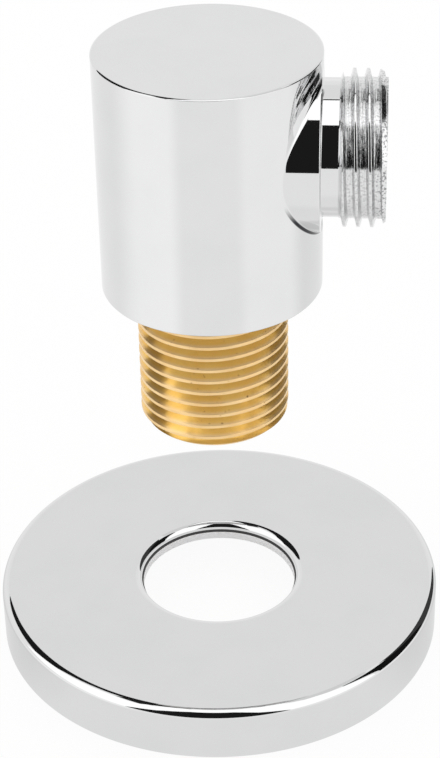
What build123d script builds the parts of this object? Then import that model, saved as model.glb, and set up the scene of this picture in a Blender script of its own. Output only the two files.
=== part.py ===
from build123d import *
import math
import os

# Shower wall outlet connector: a chromed cylinder with a threaded side outlet in one
# piece with it, a bare brass inlet nipple, and the round wall flange drawn off below.
# Millimetres. The origin is on the inlet axis in the body's bottom face, +Z runs up
# the inlet axis and the outlet points along +X.

# Pipe thread G 1/2 parallel, on the inlet and on the outlet
THREAD_MAJOR_D = 20.955
THREADS_PER_INCH = 14
WHITWORTH_DEPTH_PER_PITCH = 0.640327
THREAD_LEAD_IN = 0.9

# Body
BODY_D = 30.4
BODY_H = 34.3
BODY_TOP_BREAK = 0.35
BODY_BOTTOM_BREAK = 0.2
WATERWAY_ABOVE_OUTLET = 6.5
NIPPLE_SOCKET_DEPTH = 11.0

# Outlet, in one piece with the body: boss, neck and threaded end
OUTLET_Z = 20.5
BOSS_D = 22.4
BOSS_SETBACK = 0.15
BOSS_FILLET = 0.5
NECK_D = 18.4
NECK_L = 2.45
OUTLET_THREAD_L = 6.1
THREAD_START_L = 0.5
OUTLET_BORE_D = 12.0
BORE_CHAMFER = 0.5

# Inlet nipple
NIPPLE_REACH = 21.2
NIPPLE_BORE_D = 14.5

# Wall flange and the plastic ring that centres it on the nipple
FLANGE_D = 65.0
FLANGE_H = 8.0
FLANGE_WALL = 1.5
FLANGE_RIM_ROUND = 1.2
FLANGE_CORNER_BREAK = 0.6
FLANGE_HOLE_ROUND = 1.0
# Each quarter round of the flange is drawn as this many flats, which keeps it light
ROUND_FLATS = 3
RING_STANDS_IN = 0.3
RING_WIDTH = 3.2
RING_T = 1.45
RING_GROOVE_H = 0.35
RING_GROOVE_DEPTH = 0.6

# How far the flange is drawn off: its top face below the body's bottom face
FLANGE_DRAWN_OFF = 50.4

# Clearances
SPOT_FACE_CLEARANCE = 0.05
THREAD_CLEARANCE = 0.03
RING_ON_THREAD_CLEARANCE = 0.825

# Derived sizes
BODY_R = BODY_D / 2
THREAD_R = THREAD_MAJOR_D / 2
THREAD_PITCH = 25.4 / THREADS_PER_INCH
THREAD_DEPTH = WHITWORTH_DEPTH_PER_PITCH * THREAD_PITCH
# Two threads in mesh are drawn as plain cylinders that meet at their pitch radius
THREAD_MESH_R = THREAD_R - THREAD_DEPTH / 2
BOSS_R = BOSS_D / 2
SPOT_FACE_R = BOSS_R + BOSS_FILLET + SPOT_FACE_CLEARANCE
BOSS_END_X = BODY_R - BOSS_SETBACK
NECK_END_X = BOSS_END_X + NECK_L
OUTLET_END_X = NECK_END_X + OUTLET_THREAD_L
RING_BORE_R = THREAD_R + RING_ON_THREAD_CLEARANCE
FLANGE_HOLE_R = RING_BORE_R + RING_STANDS_IN
FLANGE_TOP_Z = -FLANGE_DRAWN_OFF


def turned(points):
    """A solid of revolution about +Z from its half section, as (radius, height) points."""
    section = Plane.XZ * make_face(Polyline(*points, close=True))
    return revolve(section, Axis.Z)


def along_outlet(shape):
    """A shape made about +Z, laid along the outlet axis with its zero on the inlet axis."""
    return Pos(0, 0, OUTLET_Z) * Rot(0, 90, 0) * shape


def quarter_round(centre_r, centre_z, radius, start_deg):
    """Section points of a quarter round, clockwise about its centre from the start angle."""
    angles = [math.radians(start_deg - 90 * i / ROUND_FLATS) for i in range(ROUND_FLATS + 1)]
    return [(centre_r + radius * math.cos(a), centre_z + radius * math.sin(a)) for a in angles]


def waterway():
    """The blind bore up the body, from the nipple's socket to just above the outlet's bore."""
    radius = NIPPLE_BORE_D / 2
    top = OUTLET_Z + WATERWAY_ABOVE_OUTLET
    return turned([(0, 0), (radius, 0), (radius, top), (0, top)])


def nipple_socket():
    """The tapped socket in the body's bottom, at the thread's pitch radius."""
    radius = THREAD_MESH_R + THREAD_CLEARANCE
    return turned([(0, 0), (radius, 0), (radius, NIPPLE_SOCKET_DEPTH), (0, NIPPLE_SOCKET_DEPTH)])


def outlet_boss():
    """The boss, left long so that its fillet runs all the way round before it is faced."""
    long_enough = BODY_R + 3 * BOSS_FILLET
    return along_outlet(turned([(0, 0), (BOSS_R, 0), (BOSS_R, long_enough), (0, long_enough)]))


def facing_cut():
    """What facing the boss takes off: all that stands beyond its end, out past the fillet."""
    beyond = BODY_D
    return along_outlet(turned([
        (0, BOSS_END_X), (SPOT_FACE_R, BOSS_END_X), (SPOT_FACE_R, beyond), (0, beyond),
    ]))


def outlet_end():
    """The neck and the threaded end with its lead-in, standing on the faced boss."""
    neck_r = NECK_D / 2
    return along_outlet(turned([
        (0, 0), (neck_r, 0), (neck_r, NECK_END_X - THREAD_START_L), (THREAD_R, NECK_END_X),
        (THREAD_R, OUTLET_END_X - THREAD_LEAD_IN),
        (THREAD_R - THREAD_LEAD_IN, OUTLET_END_X), (0, OUTLET_END_X),
    ]))


def outlet_bore():
    """The side waterway, from the inlet axis to its chamfered mouth."""
    bore_r = OUTLET_BORE_D / 2
    beyond = OUTLET_END_X + BORE_CHAMFER
    return along_outlet(turned([
        (0, 0), (bore_r, 0), (bore_r, OUTLET_END_X - BORE_CHAMFER),
        (bore_r + 2 * BORE_CHAMFER, beyond), (0, beyond),
    ]))


def make_body():
    """Cylinder, filleted boss, neck and outlet in one, with the crossing waterways."""
    body = turned([
        (0, 0), (BODY_R - BODY_BOTTOM_BREAK, 0), (BODY_R, BODY_BOTTOM_BREAK),
        (BODY_R, BODY_H - BODY_TOP_BREAK), (BODY_R - BODY_TOP_BREAK, BODY_H), (0, BODY_H),
    ])
    body += outlet_boss()
    root = [edge for edge in body.edges() if edge.geom_type not in (GeomType.CIRCLE, GeomType.LINE)]
    body = fillet(root, BOSS_FILLET)
    body = body - facing_cut() + outlet_end()
    return body - waterway() - nipple_socket() - outlet_bore()


def make_nipple():
    """The brass tube: full thread below the body, pitch radius where it is screwed in."""
    bore_r = NIPPLE_BORE_D / 2
    end = -NIPPLE_REACH
    return turned([
        (bore_r, NIPPLE_SOCKET_DEPTH), (THREAD_MESH_R, NIPPLE_SOCKET_DEPTH),
        (THREAD_MESH_R, 0), (THREAD_R, 0), (THREAD_R, end + THREAD_LEAD_IN),
        (THREAD_R - THREAD_LEAD_IN, end), (bore_r + BORE_CHAMFER, end), (bore_r, end + BORE_CHAMFER),
    ])


def make_flange():
    """A round dish, open towards the wall, with a lipped hole in its middle."""
    outer_r = FLANGE_D / 2
    inner_r = outer_r - FLANGE_WALL
    lip = quarter_round(FLANGE_HOLE_R + FLANGE_HOLE_ROUND, -FLANGE_HOLE_ROUND, FLANGE_HOLE_ROUND, 180)
    rim = quarter_round(outer_r - FLANGE_RIM_ROUND, -FLANGE_RIM_ROUND, FLANGE_RIM_ROUND, 90)
    dish = turned(lip + rim + [
        (outer_r, -FLANGE_H), (inner_r, -FLANGE_H),
        (inner_r, -FLANGE_WALL - FLANGE_CORNER_BREAK),
        (inner_r - FLANGE_CORNER_BREAK, -FLANGE_WALL), (FLANGE_HOLE_R, -FLANGE_WALL),
    ])
    return Pos(0, 0, FLANGE_TOP_Z) * dish


def make_centring_ring():
    """The ring under the flange's hole, with a groove below the metal lip."""
    outer_r = RING_BORE_R + RING_WIDTH
    top = FLANGE_TOP_Z - FLANGE_WALL
    return turned([
        (RING_BORE_R + RING_GROOVE_DEPTH, top), (outer_r, top), (outer_r, top - RING_T),
        (RING_BORE_R, top - RING_T), (RING_BORE_R, top - RING_GROOVE_H),
    ])


os.makedirs("parts", exist_ok=True)
PARTS = {
    "elbow_body": make_body,
    "inlet_nipple": make_nipple,
    "wall_flange": make_flange,
    "centring_ring": make_centring_ring,
}
for node, make in PARTS.items():
    export_step(make(), f"parts/{node}.step")
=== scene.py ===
# %% [markdown]
# The shower wall outlet connector, dressed for its portrait
#
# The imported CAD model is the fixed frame: it says where each piece is and what moves.
# This lesson builds the same pieces again as fine meshes, because mirror-like chrome
# shows every facet, and because the pipe threads are plain cylinders in the CAD model.

# %% Load the frame
import math
import bmesh
import bpy
from mathutils import Matrix, Vector


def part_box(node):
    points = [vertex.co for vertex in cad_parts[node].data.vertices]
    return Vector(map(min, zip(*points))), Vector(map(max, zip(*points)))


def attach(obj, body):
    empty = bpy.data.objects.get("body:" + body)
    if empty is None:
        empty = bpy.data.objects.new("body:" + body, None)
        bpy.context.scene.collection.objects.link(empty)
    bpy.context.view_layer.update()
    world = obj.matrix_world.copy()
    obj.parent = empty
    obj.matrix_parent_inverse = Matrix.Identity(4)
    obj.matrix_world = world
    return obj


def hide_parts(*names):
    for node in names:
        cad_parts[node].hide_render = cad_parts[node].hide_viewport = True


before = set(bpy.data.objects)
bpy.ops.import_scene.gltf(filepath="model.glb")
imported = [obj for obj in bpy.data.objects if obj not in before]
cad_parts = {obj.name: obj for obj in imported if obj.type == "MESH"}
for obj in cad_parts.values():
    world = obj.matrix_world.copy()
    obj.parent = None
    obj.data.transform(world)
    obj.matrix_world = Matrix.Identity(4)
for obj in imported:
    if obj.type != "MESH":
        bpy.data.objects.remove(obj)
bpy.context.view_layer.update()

# %% [markdown]
# Everything is in metres, but a fitting is easier to think about in millimetres. So the
# sizes below are written in millimetres and multiplied by one named unit. The places
# come from the frame wherever the CAD model already knows them.

# %% The sizes of the fitting
MM = 0.001


def heights_and_radius(node):
    """Height of a turned node's top and foot, and its outer radius, from the frame."""
    low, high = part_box(node)
    return high.z, low.z, (high.y - low.y) / 2


BODY_TOP, BODY_FOOT, BODY_R = heights_and_radius("elbow_body")
FLANGE_TOP, FLANGE_FOOT, FLANGE_R = heights_and_radius("wall_flange")
_, RING_FOOT, RING_R = heights_and_radius("centring_ring")
NIPPLE_TOP, NIPPLE_FOOT, _ = heights_and_radius("inlet_nipple")
OUTLET_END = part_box("elbow_body")[1].x

OUTLET_Z = 20.5 * MM
BOSS_R = 11.2 * MM
BOSS_END = BODY_R - 0.15 * MM
BOSS_FILLET = 0.65 * MM
SPOT_FACE_CLEARANCE = 0.05 * MM
NECK_R = 9.2 * MM
WATERWAY_R = 7.25 * MM
OUTLET_BORE_R = 6.0 * MM
WATERWAY_TOP = OUTLET_Z + 6.5 * MM
SOCKET_TOP = NIPPLE_TOP
print("body", BODY_R / MM, BODY_TOP / MM, "outlet end", OUTLET_END / MM)

# %% The two threads
THREAD_R = 20.955 / 2 * MM
PITCH = 25.4 * MM / 14
TOOTH_DEPTH = 0.640327 * PITCH
LEAD_IN = 0.9 * MM
BORE_CHAMFER = 0.5 * MM
THREAD_CLEARANCE = 0.03 * MM
SOCKET_R = THREAD_R - TOOTH_DEPTH / 2 + THREAD_CLEARANCE
SEGMENTS = 256
print("pitch", round(PITCH / MM, 3), "depth", round(TOOTH_DEPTH / MM, 3))

# %% [markdown]
# A maker at a lathe draws a half section and turns it. Here the section is drawn by
# pulling one vertex along it, and Spin turns the line. Small roundings are arcs by
# formula. A Weighted Normal modifier then lets the big faces decide the shading, so
# the flats stay flat right up to their rounded edges.

# %% Drawing a line with one vertex


def take(piece):
    """Make this the one selected and active object."""
    bpy.ops.object.select_all(action="DESELECT")
    piece.select_set(True)
    bpy.context.view_layer.objects.active = piece


def drawn_line(name, points):
    """An object of one open line, through (radius, height) points in the XZ plane."""
    bpy.ops.object.select_all(action="DESELECT")
    bpy.ops.mesh.primitive_plane_add(size=MM, location=(points[0][0], 0, points[0][1]))
    line = bpy.context.object
    line.name = name
    bpy.ops.object.transform_apply(location=True, rotation=True, scale=True)
    bpy.ops.object.mode_set(mode="EDIT")
    bpy.ops.mesh.select_all(action="SELECT")
    bpy.ops.mesh.merge(type="CENTER")
    for (r0, z0), (r1, z1) in zip(points, points[1:]):
        bpy.ops.mesh.extrude_vertices_move(TRANSFORM_OT_translate={"value": (r1 - r0, 0, z1 - z0)})
    bpy.ops.object.mode_set(mode="OBJECT")
    return line


# %% Turning a section into a closed shell
MERGE_WITHIN = 0.002 * MM


def closed_shell(piece):
    """Merge what coincides, fill what is open, and turn every face outwards."""
    take(piece)
    bpy.ops.object.mode_set(mode="EDIT")
    bpy.ops.mesh.select_all(action="SELECT")
    bpy.ops.mesh.remove_doubles(threshold=MERGE_WITHIN)
    bpy.ops.mesh.fill_holes(sides=0)
    bpy.ops.mesh.select_all(action="SELECT")
    bpy.ops.mesh.normals_make_consistent(inside=False)
    # A long thread can be taken for inside out, and then its volume comes out negative
    if bmesh.from_edit_mesh(piece.data).calc_volume(signed=True) < 0:
        bpy.ops.mesh.flip_normals()
    bpy.ops.object.mode_set(mode="OBJECT")
    return piece


def turned(name, points, segments=SEGMENTS):
    """A closed section spun about the Z axis."""
    piece = drawn_line(name, points + points[:1])
    bpy.ops.object.mode_set(mode="EDIT")
    bpy.ops.mesh.select_all(action="SELECT")
    bpy.ops.mesh.spin(steps=segments, angle=math.tau, center=(0, 0, 0), axis=(0, 0, 1))
    bpy.ops.object.mode_set(mode="OBJECT")
    return closed_shell(piece)


def arc(centre_r, centre_z, radius, start_deg, stop_deg, steps):
    """Section points along an arc, from its start angle to its stop angle."""
    turn_deg = stop_deg - start_deg
    angles = [math.radians(start_deg + turn_deg * i / steps) for i in range(steps + 1)]
    return [(centre_r + radius * math.cos(a), centre_z + radius * math.sin(a)) for a in angles]


# %% Applying a modifier and smoothing the shading


def applied(piece, kind, **settings):
    """Add a modifier of this kind, with these settings, and apply it."""
    take(piece)
    modifier = piece.modifiers.new(kind.lower(), kind)
    for name, value in settings.items():
        setattr(modifier, name, value)
    bpy.ops.object.modifier_apply(modifier=modifier.name)
    return piece


def shaded(piece, weighted=True):
    """Smooth shading, with every edge of more than 30 degrees left sharp."""
    take(piece)
    bpy.ops.object.shade_smooth_by_angle(angle=math.radians(30))
    if weighted:
        applied(piece, "WEIGHTED_NORMAL", keep_sharp=True, weight=100)
    return piece


# %% [markdown]
# The wall flange is a shallow dish, pressed and polished. Its outer rim and the lip of
# its hole are rounded, and those two roundings draw all its bright and dark lines. The
# lip's arc is stretched outwards, as pressing leaves it, and a recess under the lip holds
# the ring. The flange is the widest piece, so it is turned in finer steps.

# %% The wall flange
FLANGE_WALL = 1.5 * MM
FLANGE_RIM = 1.3 * MM
FLANGE_LIP = 1.0 * MM
LIP_STRETCH = 1.25
FLANGE_CORNER = 0.6 * MM
FLANGE_EDGE = 0.15 * MM
FLANGE_SEGMENTS = 360
HOLE_R = THREAD_R + 1.125 * MM
UNDERSIDE = FLANGE_TOP - FLANGE_WALL
INSIDE_R = FLANGE_R - FLANGE_WALL
RECESS_CLEARANCE = 0.05 * MM
RECESS_R = RING_R + RECESS_CLEARANCE
RECESS_TOP = FLANGE_TOP - 1.12 * MM

lip = arc(HOLE_R + FLANGE_LIP, FLANGE_TOP - FLANGE_LIP, FLANGE_LIP, 180, 90, 16)
flange = shaded(turned("flange_dish", (
    [(HOLE_R + LIP_STRETCH * (r - HOLE_R), z) for r, z in lip]
    + arc(FLANGE_R - FLANGE_RIM, FLANGE_TOP - FLANGE_RIM, FLANGE_RIM, 90, 0, 16)
    + arc(FLANGE_R - FLANGE_EDGE, FLANGE_FOOT + FLANGE_EDGE, FLANGE_EDGE, 0, -90, 5)
    + arc(INSIDE_R + FLANGE_EDGE, FLANGE_FOOT + FLANGE_EDGE, FLANGE_EDGE, -90, -180, 5)
    + arc(INSIDE_R - FLANGE_CORNER, UNDERSIDE - FLANGE_CORNER, FLANGE_CORNER, 0, 90, 8)
    + [(RECESS_R, UNDERSIDE), (RECESS_R, RECESS_TOP), (HOLE_R, RECESS_TOP)]
), segments=FLANGE_SEGMENTS))
print("flange faces", len(flange.data.polygons))

# %% [markdown]
# Under the lip sits a plain pale ring that centres the flange on the inlet. It is let
# into the flange right up to the lip, and a small groove at its top, painted black as
# shade, makes the dark joint line that shows inside the hole.

# %% The centring ring
RING_BORE_R = THREAD_R + 0.825 * MM
GROOVE_H = 0.33 * MM
GROOVE_DEPTH = 1.2 * MM
RING_EDGE = 0.12 * MM
RING_LOW = RING_FOOT + 0.3 * MM
GROOVE_FOOT = RECESS_TOP - GROOVE_H

ring = shaded(turned("ring_liner", (
    [(RING_BORE_R + GROOVE_DEPTH, RECESS_TOP), (RING_R, RECESS_TOP)]
    + arc(RING_R - RING_EDGE, RING_LOW + RING_EDGE, RING_EDGE, 0, -90, 4)
    + arc(RING_BORE_R + RING_EDGE, RING_LOW + RING_EDGE, RING_EDGE, -90, -180, 4)
    + arc(RING_BORE_R + RING_EDGE, GROOVE_FOOT - RING_EDGE, RING_EDGE, 180, 90, 4)
    + [(RING_BORE_R + GROOVE_DEPTH, GROOVE_FOOT)]
)))
print("ring faces", len(ring.data.polygons))

# %% [markdown]
# A pipe thread is one tooth shape that climbs as it goes round. So one tooth is drawn,
# with a narrow flat on its crest and in its root, as a worn die leaves them, and its two
# flanks between. A Screw modifier winds it up. The wound rod is longer than needed. What
# a lathe would turn first, the blank with its lead-in, then trims it, as an Intersect
# boolean. Both threads are right-handed.

# %% The section of one tooth


def tooth(crest_flat, half_angle_deg, corner):
    """The thread's section over one pitch: half a root, flank, crest, flank, half a root."""
    half_angle = math.radians(half_angle_deg)
    lean = 90 - half_angle_deg
    flank_depth = TOOTH_DEPTH - 2 * corner * (1 - math.sin(half_angle))
    root_flat = (PITCH - crest_flat - 4 * corner * math.cos(half_angle)
                 - 2 * flank_depth * math.tan(half_angle))
    root_r = THREAD_R - TOOTH_DEPTH + corner
    crest_r = THREAD_R - corner
    return (
        [(root_r - corner, 0)]
        + arc(root_r, root_flat / 2, corner, 180, 180 - lean, 2)
        + arc(crest_r, (PITCH - crest_flat) / 2, corner, -lean, 0, 3)
        + arc(crest_r, (PITCH + crest_flat) / 2, corner, 0, lean, 3)
        + arc(root_r, PITCH - root_flat / 2, corner, 180 + lean, 180, 2)
        + [(root_r - corner, PITCH)])


# %% Winding a threaded rod and trimming it


def threaded_rod(name, foot, turns, section):
    """A closed rod along Z, with a right-hand thread that starts at foot."""
    rod = drawn_line(name, [(r, z + foot) for r, z in section])
    applied(rod, "SCREW", axis="Z", angle=math.tau, screw_offset=PITCH, iterations=turns,
            steps=SEGMENTS, render_steps=SEGMENTS)
    return closed_shell(rod)


def trimmed(rod, blank):
    """What the rod and the turned blank have in common. The blank is used up."""
    applied(rod, "BOOLEAN", operation="INTERSECT", solver="MANIFOLD", object=blank)
    bpy.data.objects.remove(blank)
    return rod


def start_below(crest, facing, low):
    """Where a rod starts, two turns below low, to have a crest at this place and way round."""
    foot = crest - PITCH * (facing / math.tau + 0.5)
    return foot - PITCH * math.ceil((foot - low) / PITCH + 2)


def turns_past(high, rod_foot):
    """How many turns take a rod from its foot to two turns past high."""
    return math.ceil((high - rod_foot) / PITCH) + 2


# %% [markdown]
# The inlet is a brass tube with the thread's true flanks of 27.5 degrees. It is screwed
# into the body, and up there it is only as wide as the thread's pitch radius. One crest
# faces the camera at a known height, so the thread starts where the real one shows it.

# %% The inlet nipple
INLET_CREST_Z = -10.30 * MM
INLET_FACING = math.radians(-85.3)
INLET_CREST_FLAT = 0.36 * MM
INLET_CORNER = 0.07 * MM
TRUE_HALF_ANGLE = 27.5

rod_foot = start_below(INLET_CREST_Z, INLET_FACING, NIPPLE_FOOT)
nipple = threaded_rod("nipple_thread", rod_foot, turns_past(NIPPLE_TOP, rod_foot),
                      tooth(INLET_CREST_FLAT, TRUE_HALF_ANGLE, INLET_CORNER))
nipple = shaded(trimmed(nipple, turned("nipple_blank", [
    (WATERWAY_R, NIPPLE_TOP), (THREAD_R - TOOTH_DEPTH / 2, NIPPLE_TOP),
    (THREAD_R - TOOTH_DEPTH / 2, BODY_FOOT), (THREAD_R, BODY_FOOT),
    (THREAD_R, NIPPLE_FOOT + LEAD_IN), (THREAD_R - LEAD_IN, NIPPLE_FOOT),
    (WATERWAY_R + BORE_CHAMFER, NIPPLE_FOOT), (WATERWAY_R, NIPPLE_FOOT + BORE_CHAMFER),
])), weighted=False)
print("nipple faces", len(nipple.data.polygons))

# %% [markdown]
# The outlet's thread is made upright in the same way and then laid along the outlet. Its
# flanks are steep, with wide roots between them, and its lead-in is long and shallow. The
# blank has a little of the neck and of the bore, which later join it to the body.

# %% The outlet's threaded end
OUTLET_CREST_X = 17.71 * MM
OUTLET_FACING = math.radians(238)
OUTLET_CREST_FLAT = 0.2 * MM
OUTLET_CORNER = 0.12 * MM
STEEP_HALF_ANGLE = 15
NECK_STOP = 17.35 * MM
THREAD_START = 0.5 * MM
OUTLET_LEAD = 1.3 * MM
OUTLET_LEAD_DEPTH = 0.75 * MM
JOIN_X = 16.5 * MM

rod_foot = start_below(OUTLET_CREST_X, OUTLET_FACING, JOIN_X)
outlet = threaded_rod("outlet_thread", rod_foot, turns_past(OUTLET_END, rod_foot),
                      tooth(OUTLET_CREST_FLAT, STEEP_HALF_ANGLE, OUTLET_CORNER))
outlet = trimmed(outlet, turned("outlet_blank", [
    (OUTLET_BORE_R, JOIN_X), (NECK_R, JOIN_X), (NECK_R, NECK_STOP),
    (THREAD_R, NECK_STOP + THREAD_START), (THREAD_R, OUTLET_END - OUTLET_LEAD),
    (THREAD_R - OUTLET_LEAD_DEPTH, OUTLET_END),
    (OUTLET_BORE_R + BORE_CHAMFER, OUTLET_END), (OUTLET_BORE_R, OUTLET_END - BORE_CHAMFER),
]))
laid_over = Matrix.Rotation(math.pi / 2, 4, "Y")
outlet.data.transform(Matrix.Translation((0, 0, OUTLET_Z)) @ laid_over)
shaded(outlet, weighted=False)
print("outlet thread faces", len(outlet.data.polygons))

# %% [markdown]
# The body is the one piece that modifiers don't do well. A boolean leaves long thin
# faces on a curved mirror, and every one of them shows as a crease in the reflection.
# So its skin is made another way: each surface is a grid of points put exactly on its
# cylinder, plane or rolling-ball fillet, and each face corner keeps the true normal of
# that surface. Columns of points run out from the outlet's axis, so the wall, the
# fillet, the boss, the neck and the bore all meet point to point.

# %% A skin that keeps its true normals


class Skin:
    """Faces whose corners are (point, normal) pairs, each normal being the true one."""

    def __init__(self):
        self.points = []
        self.normals = []
        self.faces = []

    def face(self, corners):
        """A face turned to the side of its normals. Corners that coincide are left out."""
        kept = [corner for i, corner in enumerate(corners)
                if (corner[0] - corners[i - 1][0]).length > MERGE_WITHIN]
        if len(kept) < 3:
            return
        turn = sum((a[0].cross(b[0]) for a, b in zip(kept, kept[1:] + kept[:1])), Vector())
        if turn.dot(sum((c[1] for c in kept), Vector())) < 0:
            kept.reverse()
        first = len(self.points)
        self.points += [point for point, normal in kept]
        self.normals += [normal for point, normal in kept]
        self.faces.append(list(range(first, first + len(kept))))

    def grid(self, rows, closed=True):
        """Faces between each row of corners and the next."""
        for low, high in zip(rows, rows[1:]):
            for i in range(len(low) if closed else len(low) - 1):
                j = (i + 1) % len(low)
                self.face([low[i], low[j], high[j], high[i]])

    def zip(self, ring_a, ring_b):
        """Triangles between two closed rings of {angle: corner} whose angles don't pair up."""
        a, b = sorted(ring_a), sorted(ring_b)
        i = j = 0
        while i < len(a) or j < len(b):
            next_a = a[(i + 1) % len(a)] + math.tau * ((i + 1) // len(a))
            next_b = b[(j + 1) % len(b)] + math.tau * ((j + 1) // len(b))
            at_a, at_b = ring_a[a[i % len(a)]], ring_b[b[j % len(b)]]
            if i < len(a) and (j >= len(b) or next_a <= next_b):
                i += 1
                self.face([at_a, ring_a[a[i % len(a)]], at_b])
            else:
                j += 1
                self.face([at_a, ring_b[b[j % len(b)]], at_b])

    def build(self, name):
        """The mesh object, with its normals kept in an attribute while pieces are joined."""
        mesh = bpy.data.meshes.new(name)
        mesh.from_pydata(self.points, [], self.faces)
        kept = mesh.attributes.new("true_normal", "FLOAT_VECTOR", "CORNER")
        kept.data.foreach_set("vector", [x for normal in self.normals for x in normal])
        made = bpy.data.objects.new(name, mesh)
        bpy.context.collection.objects.link(made)
        return made


# %% Corners about the body's axis and about the outlet's


def about_z(radius, angle, z, facing=1):
    """A corner on a cylinder about the body's axis."""
    out = Vector((math.cos(angle), math.sin(angle), 0))
    return radius * out + Vector((0, 0, z)), facing * out


def about_outlet(x, radius, phi, along=0.0, outwards=0.0):
    """A corner about the outlet's axis, phi from the top, with its normal's two shares."""
    out = Vector((0, math.sin(phi), math.cos(phi)))
    return Vector((x, 0, OUTLET_Z)) + radius * out, along * Vector((1, 0, 0)) + outwards * out


# %% [markdown]
# The columns go by how far round the outlet's axis they stand. Most are evenly spaced.
# Some must stand at a corner of the pattern: where the spot face and the fillet begin and
# end on the wall, and where a corner of the wall's patch lies. The patch is the stretch
# of wall that the columns cover. The rest of the wall is a plain grid.

# %% The columns of points round the outlet
PATCH_HALF = math.radians(60)
INNER_HALF = math.radians(68)
FOOT_ROUND = 0.2 * MM
TOP_CORNER = 0.06 * MM
TOP_CROWN = 0.55 * MM
CROWN_FROM = math.radians(50)
WALL_LOW = BODY_FOOT + FOOT_ROUND
WALL_HIGH = BODY_TOP - TOP_CORNER * math.sin(CROWN_FROM) - TOP_CROWN * (1 - math.sin(CROWN_FROM))
SPOT_R = BOSS_R + BOSS_FILLET + SPOT_FACE_CLEARANCE
BALL_R = BODY_R + BOSS_FILLET

# Where the body's wall dips below the plane of the boss's end
dip_y = math.sqrt(BODY_R ** 2 - BOSS_END ** 2)
spot_edge = math.asin(dip_y / SPOT_R)
fillet_start = math.asin(dip_y * BALL_R / BODY_R / (BOSS_R + BOSS_FILLET))
fillet_whole = math.asin(math.sqrt(BALL_R ** 2 - BOSS_END ** 2) / (BOSS_R + BOSS_FILLET))


def corner_angles(radius, half, low, high):
    """How far round the outlet the two corners on one side of a patch are."""
    side = radius * half
    return [math.atan2(side, high - OUTLET_Z), math.atan2(side, low - OUTLET_Z)]


quarter = [spot_edge, fillet_start, fillet_whole]
one_side = (
    quarter + [math.pi - phi for phi in quarter]
    + corner_angles(BODY_R, PATCH_HALF, WALL_LOW, WALL_HIGH)
    + corner_angles(WATERWAY_R, INNER_HALF, SOCKET_TOP, WATERWAY_TOP)
)
special = one_side + [math.tau - phi for phi in one_side]
too_near = math.radians(0.4)
even = [math.tau * i / SEGMENTS for i in range(SEGMENTS)]
columns = sorted(special + [
    phi for phi in even if min(abs(phi - s) for s in special) > too_near])
print("columns", len(columns), "spot face to", round(math.degrees(spot_edge), 2))

# %% A cylinder wall with a round hole in it
FAR_COLUMNS = 144
CROWDED_TO_HOLE = 1.3
LEVEL_WITHIN = 1e-9


def patch_edge(phi, radius, half, low, high):
    """Where the ray at phi from the outlet's axis leaves the patch, as (angle, height)."""
    across, up = math.sin(phi), math.cos(phi)
    reach = [radius * half / abs(across)] if abs(across) > LEVEL_WITHIN else []
    if abs(up) > LEVEL_WITHIN:
        reach.append(((high if up > 0 else low) - OUTLET_Z) / up)
    far = min(reach)
    return far * across / radius, OUTLET_Z + far * up


def pierced_wall(skin, radius, facing, holes, half, low, high, rows=14):
    """The wall round the hole and all the rest of it. Gives its angles at the foot and top."""
    edge = {phi: patch_edge(phi, radius, half, low, high) for phi in columns}
    grid = []
    for row in range(rows + 1):
        share = (row / rows) ** CROWDED_TO_HOLE
        grid.append([
            about_z(radius, hole[0] + share * (edge[phi][0] - hole[0]),
                    hole[1] + share * (edge[phi][1] - hole[1]), facing)
            for phi, hole in zip(columns, holes)
        ])
    skin.grid(grid)
    heights = sorted(z for angle, z in edge.values() if abs(angle - half) < LEVEL_WITHIN)
    far_turn = math.tau - 2 * half
    far = [half + far_turn * i / FAR_COLUMNS for i in range(FAR_COLUMNS + 1)]
    skin.grid([[about_z(radius, angle, z, facing) for angle in far] for z in heights], closed=False)
    rings = []
    for level in (low, high):
        across = [angle for angle, z in edge.values() if abs(z - level) < LEVEL_WITHIN]
        inner = [angle for angle in across if abs(angle) < half - LEVEL_WITHIN]
        rings.append(sorted(angle % math.tau for angle in inner + far))
    return rings


# %% [markdown]
# The fillet is the path of a ball that rolls in the corner between the wall and the boss.
# The boss's end was faced flat afterwards. On the wall's most forward part that facing
# has cut the fillet away, and there a shallow spot face is left instead.

# %% One column over the fillet and the boss
FILLET_STEPS = 8
RIM_ROUND = 0.13 * MM
ROOT_ROUND = 0.15 * MM
RIM_STEPS = 4


def faced_short(phi):
    """Whether the facing has cut the whole fillet away here, down to the spot face."""
    return abs(math.sin(phi)) < math.sin((spot_edge + fillet_start) / 2)


def fillet_column(phi):
    """Corners from the wall over the rolling-ball fillet and the boss to its end face."""
    out = Vector((0, math.sin(phi), math.cos(phi)))
    y = (BOSS_R + BOSS_FILLET) * out.y
    x = math.sqrt(BALL_R ** 2 - y ** 2)
    ball = Vector((x, 0, OUTLET_Z)) + (BOSS_R + BOSS_FILLET) * out
    to_wall = Vector((-x, -y, 0)) / BALL_R
    span = to_wall.angle(-out)
    stop = span
    if x > BOSS_END:
        stop -= math.asin((BOSS_END - x) / BOSS_FILLET * math.sin(span) / to_wall.x)
    corners = []
    for i in range(FILLET_STEPS + 1):
        a = stop * i / FILLET_STEPS
        to_skin = (math.sin(span - a) * to_wall - math.sin(a) * out) / math.sin(span)
        corners.append((ball + BOSS_FILLET * to_skin, -to_skin))
    rim = min(RIM_ROUND, max(0, BOSS_END - x))
    for i in range(RIM_STEPS + 1):
        a = math.pi / 2 * i / RIM_STEPS
        if rim == 0:
            corners.append(corners[FILLET_STEPS])
        else:
            corners.append(about_outlet(
                BOSS_END - rim + rim * math.sin(a), BOSS_R - rim + rim * math.cos(a), phi,
                math.sin(a), math.cos(a)))
    return corners


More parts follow.
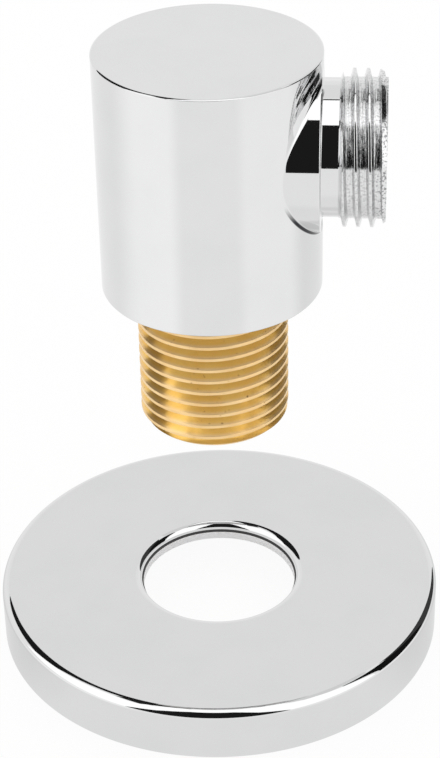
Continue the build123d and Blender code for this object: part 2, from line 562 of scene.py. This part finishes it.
def spot_column(phi):
    """Corners down the shallow wall of the spot face, all its height in one step."""
    y = SPOT_R * math.sin(phi)
    height = max(BOSS_END, math.sqrt(BODY_R ** 2 - y ** 2))
    top = about_outlet(height, SPOT_R, phi, 0, -1)
    foot = about_outlet(BOSS_END, SPOT_R, phi, 0, -1)
    return [top] + [foot] * (FILLET_STEPS + RIM_STEPS + 1)


# %% The wall with its boss
skin = Skin()
sides = [spot_column(phi) if faced_short(phi) else fillet_column(phi) for phi in columns]
holes = [(math.atan2(side[0][0].y, side[0][0].x), side[0][0].z) for side in sides]
foot_angles, top_angles = pierced_wall(
    skin, BODY_R, 1, holes, PATCH_HALF, WALL_LOW, WALL_HIGH)
for here, (side, phi) in enumerate(zip(sides, columns)):
    beyond = (here + 1) % len(sides)
    if faced_short(phi) == faced_short(columns[beyond]):
        skin.grid([side, sides[beyond]], closed=False)
print("skin faces with the wall and boss", len(skin.faces))

# %% The boss's end face and the neck
JOINING_GAP = 0.3 * MM
SKIN_END_X = JOIN_X - JOINING_GAP

forwards = Vector((1, 0, 0))
outer = [side[-1][0] for side in sides]
inner = [about_outlet(BOSS_END, NECK_R + ROOT_ROUND, phi)[0] for phi in columns]
skin.grid([[(a.lerp(b, share), forwards) for a, b in zip(outer, inner)] for share in (0, 0.5, 1)])

neck = []
for i in range(RIM_STEPS + 1):
    a = math.pi / 2 * i / RIM_STEPS
    neck.append([about_outlet(
        BOSS_END + ROOT_ROUND * (1 - math.cos(a)), NECK_R + ROOT_ROUND * (1 - math.sin(a)), phi,
        math.cos(a), math.sin(a)) for phi in columns])
neck.append([about_outlet(SKIN_END_X, NECK_R, phi, 0, 1) for phi in columns])
skin.grid(neck)
print("skin faces with the neck", len(skin.faces))

# %% [markdown]
# Polishing has dubbed over the body's top edge: a broad crown that runs out of the top
# face, and then a crisp corner. The foot has a small plain round. Inside are the tapped
# socket, the blind waterway and the outlet's bore that crosses it.

# %% The edges of the top and the foot
EDGE_STEPS = 8


def edge_rows(angles, z, sign, bends):
    """Rows of corners round an edge, from the wall, and the last row's radius.

    Each bend is (radius, stop angle).
    """
    rows = [[about_z(BODY_R, a, z) for a in angles]]
    r, tilt = BODY_R, 0.0
    for radius, stop in bends:
        start, r0, z0 = tilt, r, z
        for i in range(1, EDGE_STEPS + 1):
            tilt = start + (stop - start) * i / EDGE_STEPS
            r = r0 - radius * (math.cos(start) - math.cos(tilt))
            z = z0 + sign * radius * (math.sin(tilt) - math.sin(start))
            row = []
            for a in angles:
                point, out = about_z(r, a, z)
                row.append((point, math.cos(tilt) * out + Vector((0, 0, sign * math.sin(tilt)))))
            rows.append(row)
    return rows, r


top_rows, top_flat_r = edge_rows(
    top_angles, WALL_HIGH, 1, [(TOP_CORNER, CROWN_FROM), (TOP_CROWN, math.pi / 2)])
foot_rows, foot_flat_r = edge_rows(foot_angles, WALL_LOW, -1, [(FOOT_ROUND, math.pi / 2)])
skin.grid(top_rows)
skin.grid(foot_rows)
print("top flat to", top_flat_r / MM, "foot flat to", foot_flat_r / MM)

# %% The top, the foot and the socket


def level_ring(radius, angles, z, normal_z):
    """Corners on a level circle, facing straight up or down."""
    return [(about_z(radius, a, z)[0], Vector((0, 0, normal_z))) for a in angles]


skin.grid([level_ring(top_flat_r * share, top_angles, BODY_TOP, 1)
           for share in (1, 0.75, 0.5, 0.25, 0)])
skin.grid([level_ring(radius, foot_angles, BODY_FOOT, -1) for radius in (foot_flat_r, SOCKET_R)])
skin.grid([[about_z(SOCKET_R, a, z, -1) for a in foot_angles] for z in (BODY_FOOT, SOCKET_TOP)])
print("skin faces with the top, foot and socket", len(skin.faces))

# %% The waterway and the outlet's bore
bore_ends = [
    (math.sqrt(WATERWAY_R ** 2 - (OUTLET_BORE_R * math.sin(phi)) ** 2), phi) for phi in columns]
bore_holes = [
    (math.atan2(OUTLET_BORE_R * math.sin(phi), x), OUTLET_Z + OUTLET_BORE_R * math.cos(phi))
    for x, phi in bore_ends]
inner_foot, inner_top = pierced_wall(
    skin, WATERWAY_R, -1, bore_holes, INNER_HALF, SOCKET_TOP, WATERWAY_TOP, rows=6)
skin.grid([level_ring(WATERWAY_R * share, inner_top, WATERWAY_TOP, -1) for share in (1, 0.5, 0)])
skin.zip(dict(zip(foot_angles, level_ring(SOCKET_R, foot_angles, SOCKET_TOP, -1))),
         dict(zip(inner_foot, level_ring(WATERWAY_R, inner_foot, SOCKET_TOP, -1))))
bore = []
for share in (0, 0.5, 1):
    bore.append([about_outlet(x + share * (SKIN_END_X - x), OUTLET_BORE_R, phi, 0, -1)
                 for x, phi in bore_ends])
skin.grid(bore)
print("skin faces with the waterways", len(skin.faces))

# %% [markdown]
# The threaded end was cut from a turned blank, so its points are evenly spaced while
# the neck's are not. Its joining face is deleted, and the two pairs of rings are zipped
# together with triangles. After that the whole body is one closed mesh.

# %% Find the joining rings of the threaded end
SAME_PLANE = 0.01 * MM

take(outlet)
bpy.ops.object.mode_set(mode="EDIT")
bpy.ops.mesh.select_mode(type="FACE")
bpy.ops.mesh.select_all(action="DESELECT")
bpy.ops.object.mode_set(mode="OBJECT")
points = outlet.data.vertices
joint_points = {v.index for v in points if v.co.x < JOIN_X + SAME_PLANE}
for face in outlet.data.polygons:
    face.select = joint_points.issuperset(face.vertices)
rings = {NECK_R: {}, OUTLET_BORE_R: {}}
for v in joint_points:
    point = points[v].co
    phi = math.atan2(point.y, point.z - OUTLET_Z) % math.tau
    at_neck = math.hypot(point.y, point.z - OUTLET_Z) > (NECK_R + OUTLET_BORE_R) / 2
    radius, outwards = (NECK_R, 1) if at_neck else (OUTLET_BORE_R, -1)
    rings[radius][phi] = (point.copy(), about_outlet(0, 1, phi, 0, outwards)[1])
print("joining rings", len(rings[NECK_R]), len(rings[OUTLET_BORE_R]))

# %% Open the threaded end and zip it to the neck
kept = outlet.data.attributes.new("true_normal", "FLOAT_VECTOR", "CORNER")
kept.data.foreach_set(
    "vector", [x for corner in outlet.data.corner_normals for x in corner.vector])
bpy.ops.object.mode_set(mode="EDIT")
bpy.ops.mesh.delete(type="FACE")
bpy.ops.mesh.select_mode(type="VERT")
bpy.ops.object.mode_set(mode="OBJECT")
skin.zip(dict(zip(columns, neck[-1])), rings[NECK_R])
skin.zip(dict(zip(columns, bore[-1])), rings[OUTLET_BORE_R])
print("skin faces with the joint", len(skin.faces))

# %% Make the body one mesh with its true normals
WELD_WITHIN = 0.001 * MM

elbow = skin.build("elbow_skin")
take(elbow)
outlet.select_set(True)
bpy.ops.object.join()
bpy.ops.object.mode_set(mode="EDIT")
bpy.ops.mesh.select_all(action="SELECT")
bpy.ops.mesh.remove_doubles(threshold=WELD_WITHIN)
bpy.ops.mesh.select_all(action="DESELECT")
bpy.ops.mesh.select_non_manifold()
bpy.ops.object.mode_set(mode="OBJECT")
print("elbow faces", len(elbow.data.polygons), "loose or open points",
      sum(v.select for v in elbow.data.vertices))
elbow.data.polygons.foreach_set("use_smooth", [True] * len(elbow.data.polygons))
true_normals = [tuple(corner.vector) for corner in elbow.data.attributes["true_normal"].data]
elbow.data.normals_split_custom_set(true_normals)
elbow.data.attributes.remove(elbow.data.attributes["true_normal"])

# %% [markdown]
# Shader sums are easier to read as plain arithmetic. So one small class wraps a node's
# output, and adding or multiplying it makes the Math node for that.

# %% A shader value that arithmetic works on


class Wire:
    """A node's output socket, or a material's node tree to start from."""

    def __init__(self, tree, socket=None):
        self.tree = tree
        self.socket = socket

    def node(self, kind, output=0, settings=None, inputs=None):
        """Add a node, set it up, and give the wire of one of its outputs."""
        made = self.tree.nodes.new(kind)
        for name, value in (settings or {}).items():
            setattr(made, name, value)
        for name, value in (inputs or {}).items():
            if isinstance(value, Wire):
                self.tree.links.new(value.socket, made.inputs[name])
            else:
                made.inputs[name].default_value = value
        return Wire(self.tree, made.outputs[output])

    def of(self, name):
        """Another output of the same node."""
        return Wire(self.tree, self.socket.node.outputs[name])

    def sum(self, operation, a, b=0.0):
        """A Math node on these two values."""
        return self.node("ShaderNodeMath", settings={"operation": operation}, inputs={0: a, 1: b})

    def __add__(self, other): return self.sum("ADD", self, other)
    def __radd__(self, other): return self.sum("ADD", other, self)
    def __sub__(self, other): return self.sum("SUBTRACT", self, other)
    def __rsub__(self, other): return self.sum("SUBTRACT", other, self)
    def __mul__(self, other): return self.sum("MULTIPLY", self, other)
    def __rmul__(self, other): return self.sum("MULTIPLY", other, self)
    def __truediv__(self, other): return self.sum("DIVIDE", self, other)
    def __rtruediv__(self, other): return self.sum("DIVIDE", other, self)

    def smooth(self, low, high):
        """0 below low and 1 above high, with a smooth step between."""
        smoothly = {"interpolation_type": "SMOOTHSTEP"}
        return self.node("ShaderNodeMapRange", settings=smoothly, inputs={
            "Value": self, "From Min": low, "From Max": high})

    def mixed(self, a, b):
        """Colour a where this is 0 and colour b where it is 1."""
        return self.node("ShaderNodeMix", output=2, settings={"data_type": "RGBA"}, inputs={
            "Factor": self, 6: a, 7: b})


# %% Starting a material and filling in its shader


def new_material(name):
    """A material, its Principled shader, and the wire of the object's own coordinates."""
    material = bpy.data.materials.new(name)
    material.use_nodes = True
    tree = material.node_tree
    start = Wire(tree)
    place = start.node("ShaderNodeTexCoord", output="Object")
    return material, tree.nodes["Principled BSDF"], place


def plug(shader, **inputs):
    """Set or link the shader's inputs. Underscores stand for the spaces in their names."""
    for name, value in inputs.items():
        socket = shader.inputs[name.replace("_", " ")]
        if isinstance(value, Wire):
            value.tree.links.new(value.socket, socket)
        else:
            socket.default_value = value


def show(material, wire):
    """Make this shader the material's surface."""
    tree = material.node_tree
    tree.links.new(wire.socket, tree.nodes["Material Output"].inputs["Surface"])


# %% What the finishes share


def parts_of(place):
    """The wires of a place's X, Y and Z."""
    x = place.node("ShaderNodeSeparateXYZ", output="X", inputs={"Vector": place})
    return x, x.of("Y"), x.of("Z")


def length_of(a, b):
    """How long a slanting line is, from its two legs."""
    return a.sum("SQRT", a * a + b * b)


def noise(place, scale, detail):
    """Cloudy noise between 0 and 1, with this many clouds to the metre."""
    return place.node("ShaderNodeTexNoise", inputs={
        "Vector": place, "Scale": scale, "Detail": detail})


def bump(strength, distance, height, over=None):
    """A normal that leans as if the surface had this height, on top of another if given."""
    inputs = {"Strength": strength, "Distance": distance, "Height": height}
    if over:
        inputs["Normal"] = over
    return height.node("ShaderNodeBump", inputs=inputs)


def colour(r, g, b):
    """An opaque colour."""
    return (r, g, b, 1.0)


# %% [markdown]
# Chrome plate is a mirror with small faults. The plating is a little wavy, and handling
# leaves it faintly smudged: both are slow noise in the object's own space. The buffing
# wheel doesn't reach into the outlet's thread, so there the fine lines of the turning
# still show, and towards the thread's end the plate is pitted. How far along the outlet a
# point is decides that. The flange shares this finish but lies below the body's foot, so
# these marks are kept to what is above it.

# %% Where the outlet's thread is unbuffed or pitted
PITS_BEGIN = 22.0 * MM
PITS_FULL = 22.8 * MM
ROOT_FULL_R = THREAD_R - 0.9 * MM
ROOT_END_R = THREAD_R - 0.45 * MM

chrome, shader, place = new_material("chrome_plate")
along, sideways, height = parts_of(place)
below = OUTLET_Z - height
from_outlet = length_of(sideways, below)
above_foot = height.smooth(0.0, 1 * MM)
unbuffed = along.smooth(NECK_STOP, NECK_STOP + THREAD_START) * above_foot
pitted = along.smooth(PITS_BEGIN, PITS_FULL) * above_foot
in_root = 1.0 - from_outlet.smooth(ROOT_FULL_R, ROOT_END_R)
print("pits from", PITS_BEGIN / MM, "to the end at", OUTLET_END / MM)

# %% [markdown]
# The lines of turning are noise that is squeezed along the outlet. The fillet in the
# corner under the boss is painted near black, a painted shade for the dark crescent there.
# The foot's face, which will sit against the flange, is left dull.

# %% Lines, pits, the painted corner shade and the dull foot
SQUEEZE = 40.0

squeezed = place.node("ShaderNodeVectorMath", settings={"operation": "MULTIPLY"}, inputs={
    0: place, 1: (SQUEEZE, 1.0, 1.0)})
turning_lines = noise(squeezed, 150, 3)
pits = noise(place, 3200, 2).smooth(0.5, 0.62) * (0.25 * unbuffed + 0.55 * pitted)
# Painted shade: a narrow band of the fillet, low under the boss, where shade falls
corner = (from_outlet.smooth(BOSS_R + 0.02 * MM, BOSS_R + 0.08 * MM)
          * (1.0 - from_outlet.smooth(BOSS_R + 0.3 * MM, BOSS_R + 0.44 * MM))
          * below.smooth(3.0 * MM, 6.5 * MM) * along.smooth(9 * MM, 10 * MM))
foot_face = 1.0 - (height * height).smooth((0.03 * MM) ** 2, (0.15 * MM) ** 2)
print("chrome nodes so far", len(chrome.node_tree.nodes))

# %% Chrome plate
smudge = noise(place, 130, 3)
plate = smudge.smooth(0.35, 0.75).mixed(colour(0.752, 0.752, 0.755), colour(0.735, 0.737, 0.742))
# Painted shade: the corner under the boss is painted near black
plate = corner.mixed(plate, colour(0.03, 0.03, 0.035))
plate = foot_face.mixed(plate, colour(0.58, 0.57, 0.56))
waves = bump(0.05, 0.02 * MM, noise(place, 90, 1) + 16 * noise(place, 2400, 2) * pitted)
plug(
    shader,
    Metallic=1.0,
    Base_Color=pits.mixed(plate, colour(0.16, 0.16, 0.17)),
    Roughness=(0.03 + 0.03 * smudge.smooth(0.45, 0.8) + 0.06 * unbuffed + 0.08 * pitted
               + 0.3 * foot_face),
    Normal=bump(1.0, 0.09 * MM, turning_lines * unbuffed * in_root, waves),
)
print(chrome.name, "nodes", len(chrome.node_tree.nodes))

# %% [markdown]
# The inlet is raw brass as the lathe left it. Light that bounces about in a thread's
# valley takes up more of the metal's colour each time, so the valleys are made a deeper
# amber than the crests, by how far a point is from the axis. The colour drifts a little,
# and there are a few dark specks where swarf scratched or oil stayed. It is unpolished,
# so part of its colour is plain and only the rest is mirror.

# %% Turned brass
VALLEY_R = THREAD_R - 0.5 * TOOTH_DEPTH
CREST_R = THREAD_R - 0.02 * TOOTH_DEPTH

brass, shader, place = new_material("raw_brass")
x, y, _ = parts_of(place)
on_crest = length_of(x, y).smooth(VALLEY_R, CREST_R)
drift = noise(place, 260, 4)
specks = noise(place, 2000, 2).smooth(0.69, 0.75)
valley = drift.smooth(0.3, 0.7).mixed(colour(0.97, 0.62, 0.16), colour(0.90, 0.53, 0.12))
crest = drift.smooth(0.3, 0.7).mixed(colour(0.95, 0.68, 0.34), colour(0.88, 0.59, 0.27))
plug(
    shader,
    Metallic=0.7,
    Base_Color=specks.mixed(on_crest.mixed(valley, crest), colour(0.34, 0.20, 0.07)),
    Roughness=0.12 + 0.1 * drift,
    Specular_IOR_Level=0.25,
    Normal=bump(0.25, 0.02 * MM, noise(place, 2500, 2)),
)
print(brass.name, "nodes", len(brass.node_tree.nodes))

# %% [markdown]
# The centring ring is plain moulded plastic, pale and almost without shine. It looks grey
# only because it sits in the shade of the hole. Its groove is painted black, a painted
# shade for the shadow in that narrow slot.

# %% Grey plastic
plastic, shader, place = new_material("grey_plastic")
x, y, height = parts_of(place)
# Painted shade: the inside of the groove is painted near black
painted_groove_shade = (length_of(x, y).smooth(RING_BORE_R + 0.03 * MM, RING_BORE_R + 0.1 * MM)
             * height.smooth(GROOVE_FOOT - 0.3 * MM, GROOVE_FOOT - 0.2 * MM))
grain = noise(place, 900, 2)
face = grain.smooth(0.2, 0.8).mixed(colour(0.84, 0.84, 0.85), colour(0.89, 0.89, 0.9))
plug(
    shader,
    Base_Color=painted_groove_shade.mixed(face, colour(0.02, 0.02, 0.02)),
    Roughness=0.3 + 0.1 * grain,
)
print(plastic.name, "nodes", len(plastic.node_tree.nodes))

# %% [markdown]
# Each mesh now takes its finish, stands in for its CAD node, and rides on the body that
# moves it. The inlet, the flange and the ring are left out of reflections, because the
# real chrome is shown clean of them.

# %% Dress the frame
for piece, node, body, slot, material in (
        (elbow, "elbow_body", "fitting", "chrome_plate", chrome),
        (nipple, "inlet_nipple", "fitting", "raw_brass", brass),
        (flange, "wall_flange", "flange", "chrome_plate", chrome),
        (ring, "centring_ring", "flange", "grey_plastic", plastic)):
    piece.data.materials.clear()
    piece.data.materials.append(material)
    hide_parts(node)
    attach(piece, body)
    piece.visible_glossy = node == "elbow_body"
    piece.data.calc_loop_triangles()
    print(piece.name, "triangles", len(piece.data.loop_triangles))

# %% [markdown]
# The studio is a pale floor under an even white sky, which alone lights whatever is not
# shiny. The floor is paper with a slight sheen. Seen directly it is washed towards pure
# white, but it keeps a faint shadow. Chrome sees it through glossy rays, as a paper that
# is lit unevenly: brightest on both sides of the camera, duller behind on the right and
# close round the flange.

# %% The floor
WASH_SEEN = 0.92
FLOOR_DROP = 0.02 * MM

bpy.ops.object.select_all(action="DESELECT")
bpy.ops.mesh.primitive_plane_add(size=12, location=(0, 0, FLANGE_FOOT - FLOOR_DROP))
floor = bpy.context.object
floor.name = "floor"
paper, shader, place = new_material("paper")
fibre = noise(place, 3, 2)
plug(
    shader,
    Base_Color=fibre.mixed(colour(0.95, 0.95, 0.95), colour(0.97, 0.97, 0.97)),
    Roughness=0.35,
)
floor.data.materials.append(paper)
print("floor at", floor.location.z / MM)

# %% How brightly the paper is lit, by way round and by distance
CAMERA_AROUND = math.radians(4.7)
LIT_BEHIND_LEFT = 0.955
# Going round from there: how much brighter, and the degrees between which that comes in
LIT_STEPS = ((0.155, -110, -72), (-0.125, -41, -25), (0.073, 23, 37), (-0.148, 80, 106))
LIT_NEAR = 0.925
DIMMER_BESIDE = 0.13
DIMMER_BEHIND = 0.14

x, y, _ = parts_of(place)
rightward = math.cos(CAMERA_AROUND) * x + math.sin(CAMERA_AROUND) * y
nearer = math.sin(CAMERA_AROUND) * x - math.cos(CAMERA_AROUND) * y
way = rightward.sum("ARCTAN2", rightward, nearer) * math.degrees(1)
reach = length_of(rightward, nearer)
lit = LIT_BEHIND_LEFT
for rise, start, stop in LIT_STEPS:
    lit = lit + rise * way.smooth(start, stop)
near = 1.0 - reach.smooth(42 * MM, 62 * MM)
to_the_side = (rightward * rightward / (reach * reach)).smooth(0.5, 1.0)
behind = 1.0 - nearer.smooth(-26 * MM, -10 * MM)
lit = lit + near * (LIT_NEAR - DIMMER_BESIDE * to_the_side - lit)
lit = lit * (1.0 - DIMMER_BEHIND * near * behind)
print(paper.name, "nodes", len(paper.node_tree.nodes))

# %% The paper as it is seen and as it is mirrored
rays = place.node("ShaderNodeLightPath")
seen = rays.of("Is Camera Ray") * WASH_SEEN
mirrored = rays.of("Is Glossy Ray") + rays.of("Is Transmission Ray")
white = place.node("ShaderNodeEmission", inputs={"Color": colour(1, 1, 1), "Strength": 1.0})
uneven = place.node("ShaderNodeEmission", inputs={"Color": lit, "Strength": 1.0})
plain = Wire(paper.node_tree, shader.outputs["BSDF"])
washed = place.node("ShaderNodeMixShader", inputs={0: seen, 1: plain, 2: white})
surface = place.node("ShaderNodeMixShader", inputs={0: mirrored, 1: washed, 2: uneven})
show(paper, surface)
print("seen", WASH_SEEN, "of the way to white")

# %% The sky
world = bpy.data.worlds.new("studio")
bpy.context.scene.world = world
world.use_nodes = True
sky = world.node_tree.nodes["Background"]
sky.inputs["Color"].default_value = colour(1, 1, 1)
sky.inputs["Strength"].default_value = 1.0
print("sky strength", sky.inputs["Strength"].default_value)

# %% [markdown]
# The camera looks down on the fitting, almost square on to the side of the outlet, and
# with a long lens. Its turn is made from three axes: where it looks, its right and its
# top, rolled slightly, as the photograph is.

# %% The camera
CAMERA_DOWN = math.radians(32.735)
CAMERA_ROLL = math.radians(-1.262)
CAMERA_AWAY = 312.10 * MM
CAMERA_AIM = Vector((0.782 * MM, 0, -16.411 * MM))
FOCAL_IN_HEIGHTS = 2200 / 758
SENSOR_HEIGHT = 24

around = Matrix.Rotation(CAMERA_AROUND, 3, "Z")
forward = around @ Vector((0, math.cos(CAMERA_DOWN), -math.sin(CAMERA_DOWN)))
right = around @ Vector((1, 0, 0))
up = right.cross(forward)
cos_roll, sin_roll = math.cos(CAMERA_ROLL), math.sin(CAMERA_ROLL)
camera_x = cos_roll * right + sin_roll * up
camera_y = -sin_roll * right + cos_roll * up
turn = Matrix((camera_x, camera_y, -forward)).transposed()
stand = around @ CAMERA_AIM - CAMERA_AWAY * forward
bpy.ops.object.camera_add(location=stand, rotation=turn.to_euler())
camera = bpy.context.object
camera.data.sensor_fit = "VERTICAL"
camera.data.sensor_height = SENSOR_HEIGHT
camera.data.lens = SENSOR_HEIGHT * FOCAL_IN_HEIGHTS
camera.data.clip_start = 0.01
camera.data.clip_end = 50
bpy.context.scene.camera = camera
bpy.context.scene.view_settings.view_transform = "Standard"
print("camera lens", round(camera.data.lens, 2), "at", tuple(stand))

# %% [markdown]
# Chrome shows its shape by what it mirrors. Round the fitting stand soft boxes a little
# brighter than the sky, and black cards: a tall one in front with a narrower head, where
# the camera would stand, one behind on the left and one on the right. Thin black strips
# hang high up, on the left and behind, and pale grey cards dim the sky behind and on the
# right. All are seen in reflections only. A card is a row of columns, each given by its
# directions from the fitting.

# %% How a card is made
CLOSE = 0.55
NEARER = 0.88
FAR = 0.9
FARTHEST = 1.2


def direction(away, around_deg, up_deg):
    """A point that way from the fitting; 0 is towards the camera and 90 to its right."""
    azimuth = math.radians(around_deg - 90) + CAMERA_AROUND
    elevation = math.radians(up_deg)
    return away * Vector((
        math.cos(elevation) * math.cos(azimuth), math.cos(elevation) * math.sin(azimuth),
        math.sin(elevation)))


def card(name, brightness, away, columns):
    """A card seen only in reflections. Its columns are (way round, lowest, highest)."""
    points = [direction(away, around_deg, up_deg)
              for around_deg, *ends in columns for up_deg in ends]
    faces = [(2 * i, 2 * i + 2, 2 * i + 3, 2 * i + 1) for i in range(len(columns) - 1)]
    mesh = bpy.data.meshes.new(name)
    mesh.from_pydata(points, [], faces)
    made = bpy.data.objects.new(name, mesh)
    bpy.context.collection.objects.link(made)
    material = bpy.data.materials.new(name)
    material.use_nodes = True
    show(material, Wire(material.node_tree).node("ShaderNodeEmission", inputs={
        "Color": colour(1, 1, 1), "Strength": brightness}))
    mesh.materials.append(material)
    for kind in ("camera", "diffuse", "transmission", "volume_scatter", "shadow"):
        setattr(made, "visible_" + kind, False)
    print(name, "of", len(faces), "panels")


# %% The black cards
card("front_black", 0.013, CLOSE, [
    (-44, -6, -5), (-33, -6, 30), (-24, -6, 62.5), (8, -6, 62.5), (18, -6, 30), (31, -6, -5)])
card("left_back_black", 0.012, FAR, [
    (-172, 44, 60), (-163, 37, 73), (-150, 31, 74), (-140, 27, 73),
    (-134, 26, 60), (-126, 26, 57), (-114, 26, 50), (-106, 26, 44)])
card("left_high_strip", 0.02, FAR, [(-142, 65, 75), (-110, 65, 75), (-66, 64.5, 72)])
card("back_strip", 0.02, NEARER, [(150, 68.7, 71.2), (172, 68.7, 71.2), (194, 68.7, 71.2)])
card("right_black", 0.008, FAR, [(78, -12, 50), (84, -12, 54), (98, -12, 52), (112, -12, 46)])

# %% The grey cards
card("right_grey", 0.05, FAR, [(112, -12, 46), (124, -12, 52), (132, -12, 44), (140, -12, 33)])
card("right_high_grey", 0.8, FAR, [(72, 56, 76), (110, 54, 76), (150, 54, 74)])
card("back_grey", 0.92, FARTHEST, [(way_round, 31, 66) for way_round in range(140, 221, 10)])
card("back_low", 0.97, FARTHEST, [(way_round, 16, 31) for way_round in range(140, 221, 10)])

# %% The soft boxes
SOFT_BOX = 1.35

card("left_box", SOFT_BOX, FAR, [(-105, 8, 62), (-74, 0, 62), (-43, -6, 62), (-20, 30, 62)])
card("right_box", SOFT_BOX, FAR, [(14, 30, 62), (29, -8, 63), (52, -8, 64), (75, -8, 64)])
card("top_box", SOFT_BOX, FAR, [
    (-168, 70.4, 90), (-95, 73, 90), (-58, 57, 90), (-29, 57, 90), (0, 57, 90),
    (29, 57, 90), (58, 57, 90), (95, 73, 90), (168, 70.4, 90), (192, 70.4, 90)])
